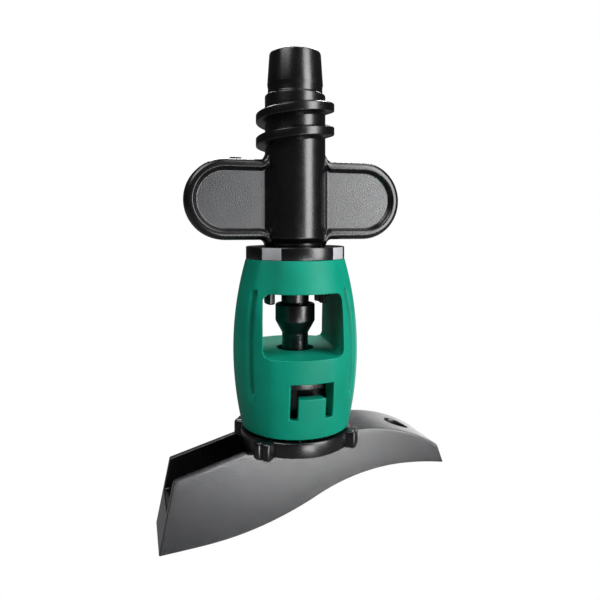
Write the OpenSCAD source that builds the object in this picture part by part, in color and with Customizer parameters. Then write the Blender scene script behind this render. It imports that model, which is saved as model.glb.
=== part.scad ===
// Hanging rotary mini-sprinkler. It is made the way the real one comes apart: a threaded inlet
// connector with two finger handles, a bayonet nozzle carrier, a bridge body with a bearing
// cartridge snapped into its foot, and a rotor that the jet turns.
// Millimetres, +Z up. The origin is the centre of the inlet mouth, and the handles lie along X.
// Most heights are depths below the mouth, so a depth d is at Z = -d.

/* [Inlet connector] */
// Length of the tapered nose
nose_len = 6.6; // [6.2:0.1:7.0]
// Radius of the nose at its mouth
nose_mouth_r = 5.18; // [5.0:0.02:5.3]
// Radius of the nose at its foot
nose_foot_r = 5.58; // [5.5:0.02:5.7]
// Radius of the water bore
inlet_bore_r = 3.6; // [3.2:0.1:3.8]
// Radius of the tube under the thread
tube_r = 6.05; // [5.8:0.05:6.2]
// Radius of the neck that meets the nozzle carrier
neck_r = 5.4; // [5.3:0.05:5.6]
// Axial pitch of the coarse thread
thread_pitch = 4.68; // [4.4:0.02:5.0]
// Radius over the thread's crest
thread_crest_r = 7.84; // [7.4:0.02:8.2]
// Turns of thread, faded ends included
thread_turns = 1.95; // [1.6:0.05:2.05]

/* [Handles] */
// Distance from handle tip to handle tip
handle_span = 44.0; // [40:0.2:46]
// Height of the handles
handle_h = 15.7; // [14:0.1:17]
// Thickness of a handle over its rim
handle_t = 4.0; // [3.4:0.1:5.0]
// Depth of the recess in each face of a handle
handle_recess = 0.9; // [0.4:0.1:1.2]
// Width of the rim around the recess
handle_rim = 2.1; // [1.4:0.1:2.4]

/* [Nozzle] */
// Radius of the nozzle's tip
nozzle_tip_r = 2.76; // [2.7:0.01:2.78]
// Radius of the jet hole
jet_r = 0.9; // [0.6:0.05:1.2]
// Radius of the carrier's flange, over its round parts
flange_r = 9.8; // [9.6:0.05:10.0]
// Thickness of the carrier's flange
flange_t = 2.4; // [2.2:0.1:2.6]
// Turn of the bridge on its bayonet from locked to free, degrees
bayonet_turn = 40; // [36:1:50]

/* [Bridge body] */
// Largest radius of the barrel
barrel_r = 12.3; // [12.1:0.05:12.6]
// Radius of the arc that shapes the barrel from top to bottom
barrel_arc_r = 64.4; // [60:0.2:70]
// Width of the window
window_w = 15.04; // [14.6:0.02:15.2]
// Height of the window
window_h = 11.6; // [11:0.1:12]
// Angle from the handles' normal to the window's centre, degrees
window_turn = -6.4; // [-8:0.2:8]
// Width of the lower slot with its snap tongue
slot_w = 8.2; // [7.6:0.1:8.6]
// Width of the snap tongue
tongue_w = 5.3; // [4.8:0.1:5.6]

/* [Swivel] */
// Outside radius of the cup
cup_r = 3.96; // [3.8:0.02:4.1]
// Outside radius of the swivel's tube in its upper bush
swivel_tube_r = 2.7; // [2.6:0.02:2.72]
// Outside radius of the steel stem
stem_r = 2.2; // [2.1:0.02:2.3]
// Radius of the water channel through the stem
channel_r = 1.4; // [1.2:0.05:1.5]
// Radial running clearance in both bushes
running_gap = 0.05; // [0.03:0.01:0.08]

/* [Rotor] */
// Radius of the collar's ring
collar_r = 10.8; // [10.6:0.1:11.2]
// Radius over the collar's lugs
lug_r = 12.6; // [12.2:0.1:13.0]
// Width of both rotor arms
wing_w = 12; // [11:0.2:13]
// Wall of the rotor arms
wing_wall = 1.3; // [1.1:0.1:1.6]

/* [Hidden] */

$fn = 96;
eps = 0.02;      // overrun of a cut past a face
cut = 1;         // overrun of a cut into open air
fit = 0.02;      // gap between pieces that are pushed together

moulded_black = "#1d1e20";
moulded_green = "#0d8a6e";
bearing_white = "#e8e6dc";
seal_black = "#101010";
steel_grey = "#b9bcbe";

// Depths, from the mouth down
groove_end = nose_len + 2;
thread_start = 9.98;
handle_top = 21.5;
handle_foot = handle_top + handle_h;
neck_start = handle_foot + 0.5;
flange_top = 38.5;
flange_foot = flange_top + flange_t;
barrel_foot = 73.4;
barrel_waist = 58.5;
window_top = 47.0;
window_foot = window_top + window_h;
floor_foot = window_foot + 2.2;
slot_top = 63.0;
slot_foot = 69.6;
tongue_top = 65.7;
cup_rim = 49.8;
collar_top = 73.9;
collar_foot = 76.7;
lug_angles = [44, 148, 224, 328];

// Inlet connector
thread_root_w = 3.0;
thread_crest_w = 1.6;
thread_fade = 0.22;
thread_start_a = 59;
thread_steps = 24;
socket_r = 4.4;
socket_top = 30.5;
handle_tip_x = handle_span / 2;

// Nozzle carrier
spigot_top = 32.0;
spigot_r = socket_r - fit;
carrier_bore_r = 3.3;
nozzle_seat = 40.0;
plug_r = 6.25;
leg_inner_r = 4.8;
leg_foot = 49.9;
hook_r = 7.0;
hook_top = window_top + 0.2;
hook_foot = 48.5;
leg_arc = 44;
hook_arc = 28;
flat_angle = 43;
flat_half_arc = 12;
outer_groove = [34.6, 35.6, 3.86];
nozzle_groove = [37.6, 38.8, 2.6];

// Bearing cartridge
chamber_r = 9.5;
cartridge_top = 61.0;
cartridge_step = 64.7;
cartridge_foot = 73.2;
cartridge_barrel_r = 8.3;
upper_bush_r = 3.8;
upper_seal_r = 4.6;
upper_seal_foot = 61.9;
upper_bush_foot = 65.4;
cavity_top = 66.5;
cavity_r = 6.5;
shoulder = 67.2;
wear_foot = 67.6;
thrust_foot = 68.4;
lower_flange_foot = 69.2;
lower_bush_r = 3.4;
lower_bush_foot = 71.6;
cover_foot = 73.0;
lower_seal_r = 4.1;
lower_seal_foot = 72.8;

// Rotor
stem_top = 57.2;
stem_foot = 79.0;
clip_top = 77.9;
clip_foot = 78.5;
clip_groove_r = 1.85;
wing_top = 74.3;
wing_plate_foot = 78.2;
wing_right_x = 28.4;
wing_left_x = -26.8;
wing_left_foot = 93.25;
duct_half_w = wing_w / 2 - wing_wall;
balance_hole_x = 22;
balance_hole_r = 2.4;

// A round solid from depth d0 with radius r0 to depth d1 with radius r1
module disc(d0, d1, r0, r1) translate([0, 0, -d1]) cylinder(h = d1 - d0, r1 = r1, r2 = r0);

// A tube between two depths
module ring(d0, d1, outer, inner) difference() {
    disc(d0, d1, outer, outer);
    disc(d0 - eps, d1 + eps, inner, inner);
}

// A slice of a tube, centred on the angle a
module arc_ring(d0, d1, outer, inner, a, arc) rotate([0, 0, a - arc / 2])
    rotate_extrude(angle = arc) translate([inner, -d1]) square([outer - inner, d1 - d0]);

// A moulded or cut seal ring of round section
module o_ring(d, mid_r, section_r) translate([0, 0, -d])
    rotate_extrude() translate([mid_r, 0]) circle(r = section_r, $fn = 24);

// A plate standing across Y, drawn in X and Z
module standing(w) rotate([90, 0, 0]) translate([0, 0, -w / 2]) linear_extrude(w) children();

// Points of an arc about c, from angle a0 to a1 in n steps
function arc_points(c, r, a0, a1, n) =
    [for (i = [0:n]) let (a = a0 + (a1 - a0) * i / n) c + r * [cos(a), sin(a)]];

// A rectangle with round corners, from circles and squares only
module round_rect(w, h, r) {
    translate([-w / 2 + r, -h / 2]) square([w - 2 * r, h]);
    translate([-w / 2, -h / 2 + r]) square([w, h - 2 * r]);
    for (x = [-1, 1], y = [-1, 1]) translate([x * (w / 2 - r), y * (h / 2 - r)]) circle(r = r, $fn = 32);
}

// ---- Inlet connector ----

// Height of the thread above the tube along its turns, from 0 to 1 and back over each faded end
function thread_rise(t) = min(1, t / thread_fade, (thread_turns - t) / thread_fade);

// One station of the thread: four corners of its section, the two inner ones inside the tube
function thread_section(t) =
    let (a = thread_start_a - 360 * t, z = -thread_start - thread_pitch * t, rise = thread_rise(t),
         inner = tube_r - 0.6, outer = tube_r - 0.3 + (thread_crest_r - tube_r + 0.3) * rise,
         half_root = thread_root_w / 4 * (1 + rise), half_crest = thread_crest_w / 2)
    [for (p = [[inner, half_root], [outer, half_crest], [outer, -half_crest], [inner, -half_root]])
        [p[0] * cos(a), p[0] * sin(a), z + p[1]]];

module thread() {
    steps = ceil(thread_steps * thread_turns);
    points = [for (i = [0:steps]) each thread_section(thread_turns * i / steps)];
    sides = [for (i = [0:steps - 1], k = [0:3]) let (a = 4 * i + k, b = 4 * i + (k + 1) % 4)
        each [[a, b, b + 4], [a, b + 4, a + 4]]];
    last = 4 * steps;
    ends = [[3, 2, 1, 0], [last, last + 1, last + 2, last + 3]];
    polyhedron(points = points, faces = concat(sides, ends), convexity = 6);
}

// Outline of both handles in one strip with round tips
module handle_strip() {
    tip = handle_h / 2;
    square([2 * (handle_tip_x - tip), handle_h], center = true);
    for (side = [-1, 1]) translate([side * (handle_tip_x - tip), 0]) circle(r = tip);
}

// The D-shaped recess in one face of one handle
module handle_panel() {
    tip = handle_h / 2 - handle_rim;
    inner_x = tube_r - 0.6;
    centre_x = handle_tip_x - handle_h / 2;
    corner = 0.9;
    translate([centre_x, 0]) circle(r = tip);
    translate([inner_x + corner, -tip]) square([centre_x - inner_x - corner, 2 * tip]);
    translate([inner_x, -tip + corner]) square([corner + 1, 2 * (tip - corner)]);
    for (y = [-1, 1]) translate([inner_x + corner, y * (tip - corner)]) circle(r = corner, $fn = 32);
}

module handles() translate([0, 0, -handle_top - handle_h / 2]) difference() {
    standing(handle_t) handle_strip();
    for (side = [0, 1], face = [-1, 1]) mirror([side, 0, 0])
        translate([0, face * (handle_t / 2 - handle_recess / 2 + cut / 2), 0])
            standing(handle_recess + cut) handle_panel();
}

module inlet_connector() color(moulded_black) difference() {
    union() {
        disc(0, 0.4, nose_mouth_r - 0.4, nose_mouth_r);
        disc(0.4, nose_len, nose_mouth_r, nose_foot_r);
        disc(nose_len - eps, groove_end + eps, neck_r + 0.05, neck_r + 0.05);
        disc(groove_end, neck_start, tube_r, tube_r);
        disc(neck_start, flange_top, tube_r, neck_r);
        thread();
        handles();
    }
    disc(-eps, socket_top, inlet_bore_r, inlet_bore_r);
    disc(socket_top - eps, flange_top + cut, socket_r, socket_r);
}

module connector_seal() color(seal_black) o_ring((outer_groove[0] + outer_groove[1]) / 2,
    (outer_groove[2] + socket_r) / 2, (socket_r - outer_groove[2]) / 2 - fit);

// ---- Nozzle carrier and nozzle ----

// Round flange with two pairs of flats that line up with those of the bridge
module faceted_flange() difference() {
    disc(flange_top, flange_foot, flange_r, flange_r);
    for (side = [0, 180], a = [-flat_angle, flat_angle]) rotate([0, 0, side - 90 + a])
        translate([flange_r * cos(flat_half_arc), -flange_r, -flange_foot - cut])
            cube([flange_r, 2 * flange_r, flange_t + 2 * cut]);
}

module nozzle_carrier() color(moulded_black) {
    difference() {
        union() {
            disc(spigot_top, flange_top + eps, spigot_r, spigot_r);
            faceted_flange();
            disc(flange_foot - eps, window_top - fit, plug_r, plug_r);
        }
        disc(spigot_top - cut, nozzle_seat, carrier_bore_r, carrier_bore_r);
        disc(nozzle_seat - eps, window_top + cut, nozzle_tip_r + fit, nozzle_tip_r + fit);
        ring(outer_groove[0], outer_groove[1], socket_r + cut, outer_groove[2]);
    }
    for (side = [0, 180]) {
        arc_ring(window_top - 0.5, leg_foot, plug_r - 0.05, leg_inner_r, side, leg_arc);
        arc_ring(hook_top, hook_foot, hook_r, plug_r - 0.3, side, hook_arc);
    }
}

module nozzle() color(moulded_black) {
    head_top = 36.6;
    tip_foot = 51.0;
    throat = 45.0;
    bore_r = 1.9;
    difference() {
        union() {
            disc(head_top, nozzle_seat, carrier_bore_r - fit, carrier_bore_r - fit);
            disc(nozzle_seat - eps, tip_foot - 0.3, nozzle_tip_r, nozzle_tip_r);
            disc(tip_foot - 0.3 - eps, tip_foot, nozzle_tip_r, nozzle_tip_r - 0.3);
        }
        disc(head_top - cut, throat, bore_r, bore_r);
        disc(throat - eps, tip_foot - 1, bore_r, jet_r);
        disc(tip_foot - 1 - eps, tip_foot + cut, jet_r, jet_r);
        ring(nozzle_groove[0], nozzle_groove[1], carrier_bore_r + cut, nozzle_groove[2]);
    }
}

module nozzle_seal() color(seal_black) o_ring((nozzle_groove[0] + nozzle_groove[1]) / 2,
    (nozzle_groove[2] + carrier_bore_r) / 2, (carrier_bore_r - nozzle_groove[2]) / 2 - fit);

// ---- Bridge body ----

// Half section of the barrel between two depths, set in from its surface
module barrel_section(d0, d1, inset) intersection() {
    translate([barrel_r - barrel_arc_r, -barrel_waist]) circle(r = barrel_arc_r - inset, $fn = 360);
    translate([0, -d1]) square([barrel_r + 1, d1 - d0]);
}

// Shallow flats that carry the flange's facets down the shoulder, and run out as they go
module shoulder_flats() {
    lean = 11;
    for (side = [0, 180], a = [-flat_angle, flat_angle]) rotate([0, 0, side - 90 + a])
        translate([flange_r * cos(flat_half_arc) + 0.05, 0, -flange_foot]) rotate([0, -lean, 0])
            translate([0, -flange_r, -8]) cube([3, 2 * flange_r, 8 + cut]);
}

// Vertical grooves that border the raised pads on the pillars
module pad_grooves() {
    groove_angle = 51.6;
    groove_arc = 5.6;
    groove_depth = 0.8;
    groove_top = 46.3;
    groove_foot = 66.9;
    for (side = [0, 180], a = [-groove_angle, groove_angle])
        rotate([0, 0, window_turn - 90 + side + a - groove_arc / 2])
            rotate_extrude(angle = groove_arc) difference() {
                translate([chamber_r + 0.5, -groove_foot]) square([4, groove_foot - groove_top]);
                barrel_section(groove_top - cut, groove_foot + cut, groove_depth);
            }
}

// A lower slot, which leaves a tongue standing on its foot
module tongue_slot() {
    arm_foot = slot_foot;
    wall = barrel_r - chamber_r + 2 * cut;
    translate([0, -chamber_r - wall / 2 + cut, 0]) difference() {
        translate([0, 0, -(slot_top + arm_foot) / 2]) standing(wall) round_rect(slot_w, arm_foot - slot_top, 0.4);
        translate([0, 0, -(tongue_top + arm_foot + 1) / 2])
            standing(wall + 1) round_rect(tongue_w, arm_foot + 1 - tongue_top, 0.6);
    }
}

// The hook inside the tip of a tongue, which the cartridge's step rests on
module tongue_hook() {
    hook_h = 1.7;
    hook_reach = 0.75;
    translate([0, -chamber_r - 0.4, -tongue_top - hook_h]) intersection() {
        translate([-tongue_w / 2, 0, 0]) cube([tongue_w, 0.4 + hook_reach, hook_h + 0.9]);
        translate([0, chamber_r + 0.4, 0]) ring(-hook_h - 1, cut, chamber_r + 1, chamber_r - hook_reach + 0.15);
    }
}

module bridge_body() color(moulded_green) {
    difference() {
        rotate_extrude() barrel_section(flange_foot, barrel_foot, 0);
        disc(flange_foot - cut, window_top + cut, plug_r + running_gap, plug_r + running_gap);
        for (side = [0, 180]) arc_ring(flange_foot - cut, window_top + cut, hook_r + 0.15, plug_r - 1,
            side - bayonet_turn, hook_arc + 4);
        rotate([0, 0, window_turn]) translate([0, 0, -(window_top + window_foot) / 2])
            standing(4 * barrel_r) round_rect(window_w, window_h, 1.0);
        disc(window_foot - cut, floor_foot + cut, 3.64, 3.64);
        disc(floor_foot, barrel_foot + cut, chamber_r, chamber_r);
        for (side = [0, 180]) rotate([0, 0, side]) tongue_slot();
        shoulder_flats();
        pad_grooves();
    }
    for (side = [0, 180]) rotate([0, 0, side]) tongue_hook();
}

// ---- Bearing cartridge ----

module bearing_cartridge() color(moulded_black) difference() {
    union() {
        disc(cartridge_top, cartridge_top + 0.6, chamber_r - 0.65, chamber_r - 0.05);
        disc(cartridge_top + 0.6 - eps, cartridge_step, chamber_r - 0.05, chamber_r - 0.05);
        disc(cartridge_step - eps, cartridge_foot, cartridge_barrel_r, cartridge_barrel_r);
    }
    disc(cartridge_top - cut, upper_seal_foot, upper_seal_r, upper_seal_r);
    disc(upper_seal_foot - eps, upper_bush_foot, upper_bush_r, upper_bush_r);
    disc(upper_bush_foot - eps, cavity_top + eps, swivel_tube_r + 0.3, swivel_tube_r + 0.3);
    disc(cavity_top, cartridge_foot + cut, cavity_r, cavity_r);
}

module upper_seal() color(seal_black)
    ring(cartridge_top + 0.1, upper_seal_foot, upper_seal_r - fit, swivel_tube_r + running_gap);

module upper_bush() color(bearing_white)
    ring(upper_seal_foot, upper_bush_foot, upper_bush_r - fit, swivel_tube_r + running_gap);

module lower_bush() color(bearing_white) {
    ring(thrust_foot, lower_flange_foot, cavity_r - 0.6, stem_r + running_gap);
    ring(lower_flange_foot - eps, lower_bush_foot, lower_bush_r - fit, stem_r + running_gap);
}

module cartridge_cover() color(moulded_black) difference() {
    disc(lower_flange_foot, cover_foot, cavity_r - fit, cavity_r - fit);
    disc(lower_flange_foot - cut, lower_bush_foot, lower_bush_r, lower_bush_r);
    disc(lower_bush_foot - eps, cover_foot + cut, lower_seal_r, lower_seal_r);
}

module lower_seal() color(seal_black)
    ring(lower_bush_foot + fit, lower_seal_foot, lower_seal_r - fit, stem_r + running_gap);

module thrust_washer() color(bearing_white) ring(wear_foot, thrust_foot, 5.2, stem_r + 0.15);

module wear_washer() color(steel_grey) ring(shoulder, wear_foot, 4.8, stem_r + fit);

// ---- Swivel ----

module swivel_cup() color(moulded_black) {
    cup_foot = 53.1;
    cone_foot = 55.4;
    cup_bore_r = 3.1;
    difference() {
        union() {
            disc(cup_rim, cup_rim + 0.4, cup_r - 0.4, cup_r);
            disc(cup_rim + 0.4 - eps, cup_foot, cup_r, cup_r);
            disc(cup_foot - eps, cone_foot, cup_r, swivel_tube_r - 0.12);
            disc(cone_foot - eps, window_foot, swivel_tube_r - 0.12, swivel_tube_r);
            disc(window_foot - eps, shoulder, swivel_tube_r, swivel_tube_r);
        }
        disc(cup_rim - cut, 52.4, cup_bore_r, cup_bore_r);
        disc(52.4 - eps, 55.2, cup_bore_r, channel_r);
        disc(55.2 - eps, shoulder + cut, channel_r, channel_r);
        disc(stem_top, shoulder + cut, stem_r, stem_r);
    }
}

module stem_tube() color(steel_grey) difference() {
    ring(stem_top + fit, stem_foot, stem_r - 0.01, channel_r);
    ring(clip_top, clip_foot, stem_r + cut, clip_groove_r);
}

module retaining_ring() color(steel_grey) difference() {
    ring(clip_top + 0.05, clip_foot - 0.05, 3.4, clip_groove_r + fit);
    translate([0, -1.3, -clip_foot - cut]) cube([5, 2.6, 3]);
}

// ---- Rotor ----

module lug() {
    lug_w = 3.6;
    lug_top = 73.7;
    lug_foot = 77.2;
    rib_w = 1.1;
    translate([collar_r - 1.2, -lug_w / 2, -lug_foot])
        cube([lug_r - 0.3 - collar_r + 1.2, lug_w, lug_foot - lug_top]);
    for (side = [-1, 1]) translate([lug_r - 0.8, side * 0.95 - rib_w / 2, -lug_foot + 0.5])
        cube([0.8, rib_w, lug_foot - lug_top - 1]);
}

module rotor_collar() color(moulded_black) difference() {
    union() {
        disc(collar_top, collar_foot, collar_r, collar_r);
        for (a = lug_angles) rotate([0, 0, a]) lug();
    }
    difference() {
        disc(collar_top - cut, collar_foot - 1.5, collar_r - 1.5, collar_r - 1.5);
        disc(collar_top - 2 * cut, collar_foot, 4, 4);
    }
    disc(collar_top - cut, collar_top + 0.4, 4.2, 4.2);
    disc(collar_top - 2 * cut, collar_foot + cut, stem_r, stem_r);
}

// The rotor's underside seen from the front: a dip of one arc from the right tip, then a rise of
// another arc into the straight run of the left arm
crest = [20.2, -81.9];
crest_r = 39;
hollow_r = 63;
hollow_x = 2.65;
hollow_a = asin((crest[0] - hollow_x) / crest_r);
hollow_end_a = 6.1;
crest_c = crest - [0, crest_r];
hollow_start = crest_c + crest_r * [-sin(hollow_a), cos(hollow_a)];
hollow_c = hollow_start + hollow_r * [-sin(hollow_a), cos(hollow_a)];
underside = concat(
    [[wing_left_x, -wing_left_foot]],
    arc_points(hollow_c, hollow_r, -90 + hollow_end_a, -90 + hollow_a, 6),
    arc_points(crest_c, crest_r, 90 + hollow_a, 90 - 14.4, 12));

// The top seen from the front: a level run on the right that an arc bends down to the tip, and a
// straight slope on the left
top_arc_r = 29;
top_arc_x = 12.5;
top_arc_a = asin((wing_right_x - top_arc_x) / top_arc_r);
right_top = arc_points([top_arc_x, -wing_top - top_arc_r], top_arc_r, 90 - top_arc_a, 90, 8);
left_top = [[0, -wing_top], [0, -76.3], [-collar_r + 0.3, -76.3], [-24.2, -80.2]];

module wing_outline() polygon(concat(underside, right_top, left_top));

// The curved floor that turns the jet from straight down to out along the left arm
duct_r = 9;
duct_c = [-5.4, -75.6];
duct_in_a = -asin((wing_plate_foot + duct_c[1]) / duct_r);
duct_out_a = 8;
duct_floor = concat(
    arc_points(duct_c, duct_r, duct_in_a, -90 + duct_out_a, 8),
    [[wing_left_x - 2, duct_c[1] - duct_r - 1.6]]);
clip_pocket_r = 3.7;
clip_pocket_foot = 79.5;
deflector_in_a = -27;

// Space of the left arm's open trough and of the duct that feeds it
module duct_outline() polygon(concat(duct_floor,
    [[wing_left_x - 2, -70], [-collar_r, -70], [-collar_r, -wing_plate_foot]]));

// Space inside the right arm, open below
module right_hollow() {
    wall_top = 1.9;
    intersection() {
        translate([top_arc_x, -wing_top - top_arc_r]) circle(r = top_arc_r - wall_top);
        translate([top_arc_x, -95]) square([wing_right_x - top_arc_x - 1.2, 30]);
    }
    translate([5.2, -95]) square([top_arc_x - 5.2 + eps, 95 - wing_plate_foot]);
}

module rotor_wing() color(moulded_black) difference() {
    standing(wing_w) wing_outline();
    disc(wing_top - cut, collar_foot, collar_r + fit, collar_r + fit);
    for (a = lug_angles) rotate([0, 0, a]) translate([9.3, -1.9, -77.3]) cube([4, 3.8, 4]);
    standing(2 * duct_half_w) duct_outline();
    standing(2 * duct_half_w) right_hollow();
    disc(collar_foot - cut, wing_plate_foot + cut, stem_r, stem_r);
    disc(clip_top, clip_pocket_foot, clip_pocket_r, clip_pocket_r);
    translate([balance_hole_x, 0, -85]) cylinder(r = balance_hole_r, h = 15);
}

// Smooth curved insert that lies on the duct's floor, from just under the stem's end
module jet_deflector() color(moulded_black) {
    skin = 1.0;
    width = 2 * duct_half_w - 2 * fit;
    outer = duct_r - fit;
    standing(width) polygon(concat(
        arc_points(duct_c, outer, deflector_in_a, -90 + duct_out_a, 8),
        arc_points(duct_c, outer - skin, -90 + duct_out_a, deflector_in_a, 8)));
}

inlet_connector();
connector_seal();
nozzle_carrier();
nozzle();
nozzle_seal();
bridge_body();
bearing_cartridge();
upper_seal();
upper_bush();
lower_bush();
cartridge_cover();
lower_seal();
thrust_washer();
wear_washer();
swivel_cup();
stem_tube();
rotor_collar();
rotor_wing();
jet_deflector();
retaining_ring();
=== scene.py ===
"""Looks of a hanging rotary mini-sprinkler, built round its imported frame.

The sprinkler hangs from its inlet: a black threaded connector with two finger handles, a green
bridge body with a window, and a wide black rotor that the jet turns. Sizes below are in
millimetres in the frame's own axes, depths are counted down from the inlet's mouth, and every
mesh is turned to metres once, where it is stored.
"""

import math

import bmesh
import bpy
import numpy as np
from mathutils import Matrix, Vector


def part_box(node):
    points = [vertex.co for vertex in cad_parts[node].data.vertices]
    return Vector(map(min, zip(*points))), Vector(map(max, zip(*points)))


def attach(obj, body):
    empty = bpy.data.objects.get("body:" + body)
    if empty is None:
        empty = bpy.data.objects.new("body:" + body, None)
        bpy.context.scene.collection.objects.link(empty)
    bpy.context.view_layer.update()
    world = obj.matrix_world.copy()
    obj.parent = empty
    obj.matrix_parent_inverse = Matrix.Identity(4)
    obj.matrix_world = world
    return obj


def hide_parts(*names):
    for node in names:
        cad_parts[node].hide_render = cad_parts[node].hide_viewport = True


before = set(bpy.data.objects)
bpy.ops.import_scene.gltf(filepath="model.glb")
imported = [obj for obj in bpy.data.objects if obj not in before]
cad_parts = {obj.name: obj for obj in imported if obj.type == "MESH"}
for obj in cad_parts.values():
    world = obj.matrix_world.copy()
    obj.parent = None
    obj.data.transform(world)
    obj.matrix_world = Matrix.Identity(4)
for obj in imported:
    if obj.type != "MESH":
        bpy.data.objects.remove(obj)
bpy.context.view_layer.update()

MM = 0.001
TAU = 2 * math.pi


def top_of(node):
    """Depth of a node's highest point, in millimetres below the mouth."""
    return -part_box(node)[1].z / MM


def foot_of(node):
    """Depth of a node's lowest point, in millimetres below the mouth."""
    return -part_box(node)[0].z / MM


def half_width(node):
    """Half of a node's size along X, in millimetres."""
    low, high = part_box(node)
    return (high.x - low.x) / 2 / MM


# Inlet connector
NOSE_FOOT = 6.6
GROOVE_FOOT = 8.6
INLET_BORE_R = 3.6
TUBE_R = 6.05
NECK_R = 5.45
THREAD_PITCH = 4.68
THREAD_CREST_R = 7.84
HANDLE_SPAN = 2 * half_width("inlet_connector")
HANDLE_TOP = 21.5
HANDLE_H = 15.7
HANDLE_T = 4.2
HANDLE_RIM = 1.45
HANDLE_RECESS = 0.9
HANDLE_EDGE_R = 1.15

# Flange and bridge body
FLANGE_TOP = foot_of("inlet_connector")
FLANGE_FOOT = top_of("bridge_body")
FLANGE_R = 9.8
BARREL_R = 12.3
BARREL_ARC_R = 64.4
BARREL_WAIST = 58.5
BARREL_FOOT = foot_of("bridge_body")
WINDOW_TURN = -6.4
WINDOW_HALF_W = 7.52
WINDOW_TOP = 47.0
WINDOW_FOOT = 58.6
WINDOW_CORNER_R = 1.1
FLOOR_FOOT = 60.8
FLAT_CENTRE = 43.0
FLAT_HALF_ARC = 12.0
FLAT_R = FLANGE_R * math.cos(math.radians(FLAT_HALF_ARC))
GROOVE_ANGLES = [48.4, 49.6, 54.6, 56.6, 59.0]

# Rotor
COLLAR_R = 10.8
COLLAR_TOP = 73.9
COLLAR_FOOT = foot_of("rotor_collar") - 0.5
LUG_ANGLES = [44, 148, 224, 328]
WING_HALF_W = 6.0
WING_WALL = 1.3
WING_TOP = top_of("rotor_wing")


# ---- Meshes ----


def grid_quads(rows, cols, wrap_rows=False, wrap_cols=False):
    """Quads of a rows by cols grid of points, closed round where wrap says so."""
    r = np.arange(rows if wrap_rows else rows - 1)
    c = np.arange(cols if wrap_cols else cols - 1)
    r, c = np.meshgrid(r, c, indexing="ij")
    r2, c2 = (r + 1) % rows, (c + 1) % cols
    quads = np.stack([r * cols + c, r2 * cols + c, r2 * cols + c2, r * cols + c2], axis=-1)
    return quads.reshape(-1, 4)


def joined(parts):
    """Points and faces of several parts as one list of points and one list of faces."""
    points, faces, start = [], [], 0
    for part_points, part_faces in parts:
        points.append(np.asarray(part_points, float).reshape(-1, 3))
        faces += [tuple(int(v) + start for v in face) for face in part_faces]
        start += len(points[-1])
    return np.concatenate(points), faces


def polar(radius, angle, depth):
    """Points at a radius, an angle in radians and a depth, which broadcast together."""
    radius, angle, depth = np.broadcast_arrays(radius, angle, depth)
    return np.stack([radius * np.cos(angle), radius * np.sin(angle), -depth], axis=-1)


def tidy(mesh, merge_mm):
    """Merges doubled points, drops faces of no area and turns all faces outwards."""
    bm = bmesh.new()
    bm.from_mesh(mesh)
    bmesh.ops.remove_doubles(bm, verts=bm.verts, dist=merge_mm * MM)
    bmesh.ops.dissolve_degenerate(bm, edges=bm.edges, dist=merge_mm * MM)
    bmesh.ops.recalc_face_normals(bm, faces=bm.faces)
    bm.to_mesh(mesh)
    bm.free()


def piece(name, parts, body, slot, materials, replaces=(), merge_mm=0.002):
    """A finished object made from parts in millimetres, riding on a CAD body."""
    points, faces = joined(parts)
    mesh = bpy.data.meshes.new(name)
    mesh.from_pydata((points * MM).tolist(), [], faces)
    tidy(mesh, merge_mm)
    mesh.shade_smooth()
    for material in materials:
        mesh.materials.append(material)
    obj = bpy.data.objects.new(name, mesh)
    bpy.context.scene.collection.objects.link(obj)
    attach(obj, body)
    if replaces:
        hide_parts(*replaces)
    return obj


def soften(obj, width, angle=38, segments=3):
    """Rounds every edge sharper than angle to a small radius, as a mould's edges are."""
    bevel = obj.modifiers.new("edge_round", "BEVEL")
    bevel.width = width * MM
    bevel.segments = segments
    bevel.limit_method = "ANGLE"
    bevel.angle_limit = math.radians(angle)
    bevel.use_clamp_overlap = False
    shade = obj.modifiers.new("flat_faces_first", "WEIGHTED_NORMAL")
    shade.weight = 80


def rounded(corners, steps=4):
    """A closed outline whose corners (a, b, radius) are replaced by arcs of that radius."""
    corner = np.array(corners, float)
    at, radius = corner[:, :2], corner[:, 2]
    back, ahead = np.roll(at, 1, 0) - at, np.roll(at, -1, 0) - at
    back_len, ahead_len = np.linalg.norm(back, axis=1), np.linalg.norm(ahead, axis=1)
    back, ahead = back / back_len[:, None], ahead / ahead_len[:, None]
    half = 0.5 * np.arccos(np.clip((back * ahead).sum(1), -1, 1))
    cut = np.minimum(radius / np.tan(half), 0.48 * np.minimum(back_len, ahead_len))
    middle = back + ahead
    middle /= np.maximum(np.linalg.norm(middle, axis=1), 1e-9)[:, None]
    centre = at + middle * (cut / np.cos(half))[:, None]
    start, end = at + back * cut[:, None] - centre, at + ahead * cut[:, None] - centre
    swing = np.maximum(math.pi - 2 * half, 1e-6)[:, None, None]
    t = np.linspace(0, 1, steps + 1)[None, :, None]
    from_start, from_end = np.sin((1 - t) * swing), np.sin(t * swing)
    arc = (from_start * start[:, None] + from_end * end[:, None]) / np.sin(swing)
    return (centre[:, None] + arc).reshape(-1, 2)


def revolved(corners, steps=120, round_steps=4):
    """A closed profile of corners (radius, depth, rounding) turned once round the axis."""
    profile = rounded(corners, round_steps)
    a = np.arange(steps)[:, None] * TAU / steps
    points = polar(profile[:, 0], a, profile[:, 1])
    return points.reshape(-1, 3), grid_quads(steps, len(profile), True, True)


def capped(rings):
    """Rings of points skinned one to the next, with a face over the first and the last."""
    count, n = rings.shape[:2]
    last = n * (count - 1)
    ends = [tuple(range(n)), tuple(range(last + n - 1, last - 1, -1))]
    return rings.reshape(-1, 3), grid_quads(count, n, False, True).tolist() + ends


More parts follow.
